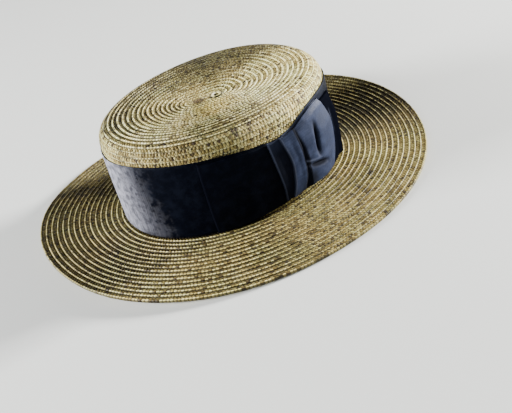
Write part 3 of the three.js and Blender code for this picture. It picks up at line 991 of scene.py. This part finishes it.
def plait_group():
    """Flat plait: two sets of straws crossing at 45 degrees, and a rope-like raised outer edge.

    Along is in millimetres, Row counts the rows and their fractions, Ring is 1 where every row
    starts again from 0 along, and Contrast is how far rows stand out from each other. With a and b
    the places across the two sets, the upper straw is the one that the parity of
    floor(a) + floor(b) picks, and its height is sin(pi frac) across it. Flecks is the share of
    places with a dark fleck; where it is large, the raised edge also has dark dashes.
    """
    n, given, result = new_group(
        "straw_plait",
        ["Along", "Row", "Ring", "Contrast", "Flecks"],
        [("Color", "NodeSocketColor"), ("Height", "NodeSocketFloat"), ("Gloss", "NodeSocketFloat")],
    )
    row = n.math("FLOOR", given["Row"])
    across = n.minus(given["Row"], row)
    key = n.times(row, given["Ring"])
    shift = n.times(n.chance(key, 3.0), n.times(given["Ring"], 40.0))
    along = n.plus(n.plus(given["Along"], shift), 200.0)
    wide = n.times(across, n.span(given["Contrast"], 0.12, 0.34, 1.3, 3.6))
    a = n.over(n.plus(along, wide), PLAIT_STEP)
    b = n.over(n.minus(along, wide), PLAIT_STEP)
    floor_a, floor_b = n.math("FLOOR", a), n.math("FLOOR", b)
    part_a, part_b = n.minus(a, floor_a), n.minus(b, floor_b)
    odd = n.math("MODULO", n.plus(floor_a, floor_b), 2.0)
    round_a = n.math("SINE", n.times(part_a, math.pi))
    round_b = n.math("SINE", n.times(part_b, math.pi))
    high_a = n.times(round_a, n.scaled(round_b, 0.45, 0.55))
    high_b = n.times(round_b, n.scaled(round_a, 0.45, 0.55))
    field = n.mix(odd, high_a, high_b)
    straw = n.mix(odd, floor_a, n.plus(floor_b, 0.5))
    edge_place = n.over(n.plus(along, 3.3), PLAIT_STEP)
    edge_floor = n.math("FLOOR", edge_place)
    twist = n.math("SINE", n.times(n.minus(edge_place, edge_floor), math.pi))
    from_crest = n.over(n.minus(across, CREST), CREST_HALF)
    crest = n.larger(n.minus(1.0, n.times(from_crest, from_crest)), 0.0)
    crest = n.math("SQRT", crest)
    rope = n.times(crest, n.scaled(twist, 0.62, 0.38))
    on_edge = n.span(across, 0.63, 0.69)

    inner_tone = n.ramp(n.chance(straw, key), FIELD_TONES)
    edge_tone = n.ramp(n.chance(edge_floor, n.plus(key, 0.5)), EDGE_TONES)
    edge_share = n.times(on_edge, n.scaled(given["Contrast"], 0.55, 0.45))
    tone = n.color(edge_share, inner_tone, edge_tone)
    fleck_place = n.over(along, FLECK_STEP)
    fleck_floor = n.math("FLOOR", fleck_place)
    fleck_key = n.plus(key, 0.25)
    fleck_middle = n.scaled(n.chance(fleck_floor, fleck_key), 0.4, 0.3)
    fleck_x = n.times(n.minus(n.minus(fleck_place, fleck_floor), fleck_middle), FLECK_STEP)
    fleck_row = n.chance(fleck_floor, n.plus(key, 0.75))
    fleck_y = n.times(n.minus(across, fleck_row), FLECK_ROW)
    fleck_away = n.math("SQRT", n.plus(n.times(fleck_x, fleck_x), n.times(fleck_y, fleck_y)))
    fleck_pick = n.math("LESS_THAN", n.chance(fleck_floor, n.plus(key, 0.6)), given["Flecks"])
    fleck_round = n.span(fleck_away, 0.50, 1.05, 1.0, 0.0)
    fleck_hue = n.ramp(n.chance(fleck_floor, 7.5), FLECK_TONES)
    tone = n.color(n.times(n.times(fleck_pick, fleck_round), 0.92), tone, fleck_hue)

    # Painted shade: in the hollows between crossing straws and between the raised edge's twists, in
    # the gap along a row's inner side, in a line just inside the raised edge, over the field, where
    # it is partly the field's own darker straw, and on the edge's outer flank. Contrast sets how
    # strong most of it is
    between = n.span(field, 0.12, 0.70, 0.14, 1.0)
    between = n.mix(on_edge, between, n.span(twist, 0.05, 0.80, 0.14, 1.0))
    gap_shade_low = n.scaled(given["Contrast"], -0.62, 0.65)
    gap_shade = n.mix(n.span(across, 0.03, 0.20), gap_shade_low, 1.0)
    inside = n.times(n.span(across, 0.42, 0.61), n.span(across, 0.63, 0.68, 1.0, 0.0))
    foot = n.minus(1.0, n.times(n.times(inside, given["Contrast"]), 0.6))
    in_field = n.times(n.minus(1.0, on_edge), given["Contrast"])
    field_tone_and_shade = n.scaled(in_field, -0.74, 1.0)
    under_low = n.scaled(given["Contrast"], -0.68, 0.80)
    under = n.mix(n.span(across, 0.87, 0.95), 1.0, under_low)
    shade = n.times(n.times(between, gap_shade), n.times(foot, field_tone_and_shade))
    shade = n.times(shade, under)
    # Dark straws make dark dashes on the raised edge
    dash_key = n.plus(key, 0.9)
    dash = n.chance(n.math("FLOOR", n.over(along, DASH_STEP)), dash_key)
    dark_dash = n.math("LESS_THAN", dash, n.scaled(given["Flecks"], 1.3, -0.20))
    shade = n.times(shade, n.mix(n.times(dark_dash, on_edge), 1.0, 0.30))
    n.feed(result["Color"], n.color(1.0, tone, n.grey(shade), "MULTIPLY"))
    edge_height = n.scaled(rope, 0.62, 0.15)
    n.feed(result["Height"], n.mix(on_edge, n.times(field, 0.55), edge_height))
    n.feed(result["Gloss"], n.mix(on_edge, n.times(field, 0.6), 1.0))
    return n.tree


def silk_group():
    """Ribbed silk: fine ribs across the ribbon and slow mottling. Along and Up are millimetres."""
    n, given, result = new_group(
        "ribbed_silk",
        ["Along", "Up"],
        [("Height", "NodeSocketFloat"), ("Mottle", "NodeSocketFloat")],
    )
    rib = n.math("SINE", n.times(given["Along"], 2 * math.pi / 1.05))
    weft = n.math("SINE", n.times(given["Up"], 2 * math.pi / 0.45))
    place = n.flat(given["Along"], given["Up"])
    slow = n.noise(place, 0.11, 4.0, 0.6)
    height = n.scaled(weft, 0.008, n.times(rib, 0.03))
    n.feed(result["Height"], n.plus(height, n.times(slow, 0.35)))
    n.feed(result["Mottle"], slow)
    return n.tree


PLAIT = plait_group()
SILK = silk_group()


# Stretches of the brim with painted shade, as angles in radians from the wearer's left (+X)
# towards the back (+Y), and the way from the hat's middle to its far side, where the painted shade
# is darkest
BOW_SIDE = (-0.45, -0.10, 0.55, 0.90)
FRONT_LEFT = (-1.75, -1.45, -1.15, -0.80)
FRONT_RIGHT = (-2.78, -2.60, -2.34, -2.20)
FAR_SIDE = (-0.866, 0.5, 0.0)

# Where shade is painted on the crown's wall, from the front to the bow, and the curl's ring, which
# is painted paler, in metres
WALL_FRONT_LEFT = (-1.62, -1.36, -0.85, -0.35)
CURL_PALE_RING = (0.0018, 0.0025, 0.0040, 0.0046)

# Height of the stains on the crown's top, in metres
STAIN_HEIGHT = 0.0849


def brim_tones(n, x, y):
    """(contrast, painted shade, painted light, bow side) of the brim's straw, by the way that it
    faces.

    The rows stand out most between the front and the bow, and least on the bow's side. Painted
    shade makes the straw darkest on the far side and darker in three shorter stretches, and painted
    light makes it paler in two stretches of the front. The shades multiply where they meet.
    """
    turn = n.math("ARCTAN2", y, x)
    contrast = n.larger(n.span(turn, -0.42, 0.0, 0.98, 0.26), n.span(turn, 0.85, 1.50, 0.26, 0.70))
    facing = {0: n.flat(x, y)}
    facing = n.node("ShaderNodeVectorMath", facing, operation="NORMALIZE").outputs[0]
    far = n.node("ShaderNodeVectorMath", {0: facing, 1: FAR_SIDE}, operation="DOT_PRODUCT")
    contrast = n.times(contrast, n.span(turn, -2.50, -2.25, 0.45, 1.0))
    contrast = n.times(contrast, n.span(turn, -1.55, -1.10, 0.70, 1.0))
    # Painted shade on the far side, and weaker painted shade on the bow's side, the front left and
    # the front right
    deep = n.span(far.outputs["Value"], -0.15, 0.25, 1.0, 0.53)
    near = n.window(turn, BOW_SIDE)
    corner = n.window(turn, FRONT_LEFT)
    right = n.window(turn, FRONT_RIGHT)
    deep = n.times(deep, n.times(n.mix(near, 1.0, 0.76), n.mix(corner, 1.0, 0.84)))
    deep = n.times(deep, n.mix(right, 1.0, 0.72))
    # Painted light in two stretches of the front
    painted_light = n.span(turn, -2.30, -1.90, 0.0, 0.35)
    painted_light = n.times(painted_light, n.span(turn, -1.75, -1.45, 1.0, 0.0))
    beside = n.span(turn, -1.40, -1.00, 0.0, 0.6)
    beside = n.times(beside, n.span(turn, -0.50, -0.15, 1.0, 0.0))
    return contrast, deep, n.larger(painted_light, beside), near


def crown_tones(n, x, y, row):
    """(contrast, painted shade, painted light) of the crown's straw, by place on its top and down
    its wall.

    The rows stand out most in the curl, more towards the front and further out on the top, and
    least at the back and on the wall. Painted shade darkens the straw towards the wearer's right,
    most at the back there, and on the wall, most between the front and the bow. Painted light makes
    it paler in front and at the back left. In the curl, shade is painted in the hole and in the rim
    outside the raised ring, and the ring is painted paler. The shades multiply where they meet.
    """
    rows = n.span(row, 9.0, 15.0, 0.34, 0.78)
    rows = n.larger(rows, n.span(y, -0.060, -0.010, 0.55, 0.0))
    rows = n.mix(n.span(y, 0.010, 0.050), rows, 0.28)
    away = n.distance(n.flat(x, y), (CURL_X / 1000, CURL_Y / 1000, 0.0))
    rows = n.larger(rows, n.span(away, 0.0054, 0.0068, 1.0, 0.0))
    hole = n.span(away, 0.0012, 0.0023, 0.12, 1.0)
    rim = n.span(away, 0.0043, 0.0050, 1.0, 0.30)
    rim = n.larger(rim, n.span(away, 0.0054, 0.0066, 0.30, 1.0))
    pale_ring = n.window(away, CURL_PALE_RING)
    contrast = n.times(rows, n.span(row, EDGE_ROW + 0.1, EDGE_ROW + 0.9, 1.0, 0.15))
    # Painted shade towards the wearer's right, on the wall, at the back right, on the wall between
    # the front and the bow, and in the curl's hole and rim
    deep = n.span(x, -0.055, 0.005, 0.50, 1.0)
    deep = n.times(deep, n.span(row, EDGE_ROW, EDGE_ROW + 1.5, 1.0, 0.78))
    behind = n.times(n.span(x, -0.030, 0.0, 1.0, 0.0), n.span(y, -0.010, 0.030))
    turn = n.math("ARCTAN2", y, x)
    facing = n.window(turn, WALL_FRONT_LEFT)
    facing = n.times(facing, n.span(row, EDGE_ROW, EDGE_ROW + 1.0))
    deep = n.times(deep, n.times(n.mix(behind, 1.0, 0.54), n.mix(facing, 1.0, 0.60)))
    deep = n.times(deep, n.times(hole, rim))
    # Painted light in front and at the back left, and on the curl's raised ring
    painted_light = n.times(n.span(y, -0.020, 0.035), n.span(x, -0.030, 0.015))
    painted_light = n.larger(painted_light, n.span(y, -0.092, -0.045, 0.75, 0.0))
    return contrast, deep, n.larger(painted_light, pale_ring)


def straw_material(name, ring, tint, stains=()):
    """Plait in the piece's own rows, toned slowly over its surface, with shade and light painted by
    place on the hat.

    ring is true for the brim. A stain is (x, y, width, strength, colour) on the crown's top; a
    colour above 1 makes the place paler.
    """
    material, n = new_material(name)
    length, row = n.split(n.uv("rows"))
    place = n.node("ShaderNodeTexCoord").outputs["Object"]
    slow = n.noise(place, 26.0, 3.0, 0.6)
    patches = n.noise(place, 75.0, 2.0, 0.5)
    x, y = n.split(place)
    if ring:
        contrast, deep, painted_light, near = brim_tones(n, x, y)
    else:
        contrast, deep, painted_light = crown_tones(n, x, y, row)
    plait = n.node("ShaderNodeGroup", node_tree=PLAIT)
    n.feed(plait.inputs["Along"], length)
    n.feed(plait.inputs["Row"], row)
    plait.inputs["Ring"].default_value = 1.0 if ring else 0.0
    n.feed(plait.inputs["Contrast"], contrast)
    # Dark flecks grow more common where shade is painted, and on the brim's bow side, which adds to
    # the painted shade there
    flecks = n.scaled(n.minus(1.0, deep), 0.5, n.span(patches, 0.35, 0.75, 0.04, 0.28))
    if ring:
        flecks = n.scaled(near, 0.10, flecks)
    n.feed(plait.inputs["Flecks"], flecks)
    warm = n.color(n.span(slow, 0.35, 0.65), (0.88, 0.93, 0.82, 1.0), (1.06, 1.0, 0.88, 1.0))
    color = n.color(1.0, plait.outputs["Color"], warm, "MULTIPLY")
    # Painted light by place
    color = n.color(painted_light, color, (1.50, 1.52, 1.60, 1.0), "MULTIPLY")
    color = n.color(1.0, color, (*tint, 1.0), "MULTIPLY")
    color = n.color(1.0, color, (0.97, 0.94, 0.77, 1.0), "DARKEN")
    # Painted shade by place
    color = n.color(1.0, color, n.grey(deep), "MULTIPLY")
    for stain_x, stain_y, wide, strength, stain in stains:
        away = n.distance(place, (stain_x, stain_y, STAIN_HEIGHT))
        uneven = n.scaled(n.noise(place, 260.0, 2.0), wide * 1.6, -wide * 0.8)
        away = n.plus(away, uneven)
        share = n.span(away, wide * 0.4, wide * 1.2, strength, 0.0)
        color = n.color(share, color, (*stain, 1.0), "MULTIPLY")
    n.surface(
        {
            "Base Color": color,
            "Roughness": n.span(plait.outputs["Gloss"], 0.0, 1.0, 0.80, 0.42),
            "Normal": n.bump(plait.outputs["Height"]),
            "Specular IOR Level": 0.30,
            "Specular Tint": (1.0, 0.88, 0.66, 1.0),
        }
    )
    return material


# Silk in painted shade, as in a crease, in painted light, and in the band's pale patch, and along
# the band that patch's two ends, each as the place where it begins to fade and the place where it
# is over
PAINTED_SHADE_COLOR = (0.0010, 0.0013, 0.0032, 1.0)
PAINTED_LIGHT_COLOR = (0.085, 0.10, 0.155, 1.0)
PATCH_COLOR = (0.30, 0.305, 0.37, 1.0)
PATCH_NEAR_END = (472.0, 494.0)
PATCH_FAR_END = (380.0, 415.0)


def silk_material(name, base, mottle_color, shine, sheen, patch):
    """Dark ribbed silk: nearly black itself, with a blue gloss and paler mottling.

    Painted shade, as in creases, and painted light come from a second UV map. With a patch, the
    ribbon is paler round the front of the hat, between two places along it, ragged at its ends,
    with faint streaks up and down it and a few along its foot.
    """
    material, n = new_material(name)
    uv = n.uv("rows")
    along, up = n.split(uv)
    silk = n.node("ShaderNodeGroup", node_tree=SILK)
    n.feed(silk.inputs["Along"], along)
    n.feed(silk.inputs["Up"], up)
    bump = n.bump(silk.outputs["Height"])
    color = n.color(n.span(silk.outputs["Mottle"], 0.40, 0.66), (*base, 1.0), (*mottle_color, 1.0))
    rough = n.span(silk.outputs["Mottle"], 0.35, 0.65, 0.46, 0.58)
    # The second UV map holds painted shade, as in creases, with duller silk there, and painted
    # light
    shade, light = n.split(n.uv("painted_light_shade"))
    color = n.color(n.times(shade, 0.97), color, PAINTED_SHADE_COLOR)
    color = n.color(n.times(light, 0.55), color, PAINTED_LIGHT_COLOR)
    rough = n.mix(shade, rough, 0.95)
    if patch:
        upright = n.flat(n.times(along, 0.9), n.times(up, 0.05))
        level = n.flat(n.times(along, 0.04), n.times(up, 0.7))
        streak = n.noise(upright, 1.0, 2.0, 0.5)
        line = n.noise(level, 1.0, 2.0, 0.5)
        blot = n.noise(uv, 0.16, 4.0, 0.62)
        ragged = n.scaled(n.minus(blot, 0.5), 60.0, along)
        ragged = n.plus(ragged, n.span(up, 12.0, 66.0, -6.0, 4.0))
        near_end = n.span(ragged, *PATCH_NEAR_END, 1.0, 0.0)
        near_end = n.times(near_end, n.span(along, 434.0, 486.0, 1.0, 0.20))
        far_end = n.span(ragged, *PATCH_FAR_END)
        where = n.times(near_end, far_end)
        foot = n.times(n.span(up, 18.0, 30.0, 1.0, 0.0), n.span(line, 0.50, 0.62, 0.0, 0.5))
        body = n.times(n.span(streak, 0.30, 0.70, 0.55, 1.0), n.span(blot, 0.36, 0.60, 0.40, 1.0))
        pale = n.times(where, n.larger(body, foot))
        color = n.color(pale, color, PATCH_COLOR)
        rough = n.mix(pale, rough, 0.62)
    n.surface(
        {
            "Base Color": color,
            "Roughness": rough,
            "Normal": bump,
            "Specular IOR Level": shine,
            "Specular Tint": (0.62, 0.70, 1.0, 1.0),
            "Sheen Weight": sheen,
            "Sheen Roughness": 0.30,
            "Sheen Tint": (0.60, 0.66, 1.0, 1.0),
        }
    )
    return material


def plain_material(name, color, roughness):
    material, n = new_material(name)
    n.surface({"Base Color": (*color, 1.0), "Roughness": roughness})
    return material


# The hat

# The crown's straw is tinted lighter and bluer than the brim's, which paints light onto the crown
crown_straw = straw_material(
    "crown_straw",
    False,
    (1.14, 1.21, 1.24),
    stains=[
        (0.0030, -0.0105, 0.0066, 1.0, (0.26, 0.21, 0.21)),
        (0.0180, 0.0120, 0.0090, 0.30, (0.55, 0.52, 0.48)),
        # This one makes a wide patch of the top, towards the wearer's left of its middle, paler
        (0.0270, -0.0080, 0.0190, 0.80, (1.14, 1.08, 0.74)),
    ],
)
brim_straw = straw_material("brim_straw", True, (0.90, 0.90, 0.75))
band_silk = silk_material(
    "band_silk",
    base=(0.0009, 0.0013, 0.0032),
    mottle_color=(0.0024, 0.0033, 0.007),
    shine=0.022,
    sheen=0.0,
    patch=True,
)
# The knot and back loop get a lighter copy of the ribbon's silk: painted light on them
bow_silk_painted_light = silk_material(
    "bow_silk_painted_light",
    base=(0.0105, 0.0150, 0.0340),
    mottle_color=(0.019, 0.026, 0.055),
    shine=0.11,
    sheen=0.02,
    patch=False,
)
# The loop under the back loop gets a darker, duller copy of the bow's silk: painted shade on it
under_silk_painted_shade = silk_material(
    "under_silk_painted_shade",
    base=(0.0016, 0.0022, 0.0050),
    mottle_color=(0.003, 0.004, 0.008),
    shine=0.006,
    sheen=0.0,
    patch=False,
)

crown = build_crown()
brim = build_brim()
band = build_band()
front_loop = build_loop(
    "front_loop",
    side=-1,
    reach=70.0,
    seat=FIRST_SEAT,
    corner=(0.01, 0.01),
    lows=(0.02, 0.02),
    highs=(0.015, 0.015),
    lean=0.0,
    rise=front_rise,
    painted_light_shade=front_loop_painted_shade,
    columns=60,
    rows=50,
)
under_loop = build_loop(
    "under_loop",
    side=1,
    reach=79.0,
    seat=FIRST_SEAT,
    corner=(0.08, 0.08),
    lows=(0.06, 0.06),
    highs=(0.06, 0.12),
    lean=0.0,
    rise=under_rise,
    painted_light_shade=under_loop_painted_light_shade,
    columns=40,
    rows=30,
)
back_loop = build_loop(
    "back_loop",
    side=1,
    reach=55.0,
    seat=SECOND_SEAT,
    corner=(0.17, 0.11),
    lows=(0.07, 0.125),
    highs=(0.02, 0.03),
    lean=2.0,
    rise=back_rise,
    painted_light_shade=back_loop_painted_light_shade,
    columns=90,
    rows=80,
)
knot = build_knot()

for piece, node, material, slot in (
    (crown, "crown", crown_straw, "straw"),
    (brim, "brim", brim_straw, "straw"),
    (band, "hat_band", band_silk, "ribbon"),
    (front_loop, "bow_front_loop", band_silk, "ribbon"),
    (under_loop, "bow_under_loop", under_silk_painted_shade, "ribbon"),
    (back_loop, "bow_back_loop", bow_silk_painted_light, "ribbon"),
    (knot, "bow_knot", bow_silk_painted_light, "ribbon"),
):
    piece.data.materials.append(material)
    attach(piece, "root")
    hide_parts(node)

# Floor, light and camera

bpy.ops.mesh.primitive_plane_add(size=8.0, location=(0.0, 0.0, 0.0))
floor = bpy.context.object
floor.name = "floor"
floor.data.materials.append(plain_material("pale_floor", (0.66, 0.68, 0.68), 0.75))


LAMP_DISTANCE = 2.2
LAMP_AIM = 0.04


def lamp(name, azimuth, elevation, size, power, color):
    """A square soft light that looks at the hat; azimuth is counted from +X towards +Y."""
    light = bpy.data.lights.new(name, "AREA")
    light.shape = "SQUARE"
    light.size = size
    light.energy = power
    light.color = color
    lamp_object = bpy.data.objects.new(name, light)
    az, el = math.radians(azimuth), math.radians(elevation)
    back = np.array([math.cos(az) * math.cos(el), math.sin(az) * math.cos(el), math.sin(el)])
    side = np.cross([0, 0, 1], back)
    side /= np.linalg.norm(side)
    over = np.cross(back, side)
    turned = np.eye(4)
    turned[:3, 0], turned[:3, 1], turned[:3, 2] = side, over, back
    turned[:3, 3] = back * LAMP_DISTANCE + np.array([0, 0, LAMP_AIM])
    bpy.context.scene.collection.objects.link(lamp_object)
    lamp_object.matrix_world = Matrix(turned.tolist())


lamp("light_back", 79, 14, size=0.40, power=275, color=(1.0, 0.98, 0.93))
lamp("light_front", -112, 15, size=0.80, power=180, color=(1.0, 0.99, 0.96))
lamp("light_side", -70, 32, size=1.0, power=26, color=(1.0, 0.99, 0.96))
lamp("light_far", 165, 10, size=1.0, power=10, color=(1.0, 0.99, 0.97))

world = bpy.data.worlds.new("soft_room")
world.use_nodes = True
world.node_tree.nodes["Background"].inputs["Color"].default_value = (0.80, 0.84, 0.88, 1.0)
world.node_tree.nodes["Background"].inputs["Strength"].default_value = 0.06
bpy.context.scene.world = world

camera_data = bpy.data.cameras.new("camera")
camera_data.lens = 56.50
camera_data.sensor_width = 36.0
camera = bpy.data.objects.new("camera", camera_data)
bpy.context.scene.collection.objects.link(camera)
camera.matrix_world = Matrix(
    (
        (0.54263, -0.33340, 0.77097, 0.57488),
        (0.80396, 0.47202, -0.36173, -0.25641),
        (-0.24332, 0.81611, 0.52417, 0.35191),
        (0.0, 0.0, 0.0, 1.0),
    )
)
bpy.context.scene.camera = camera
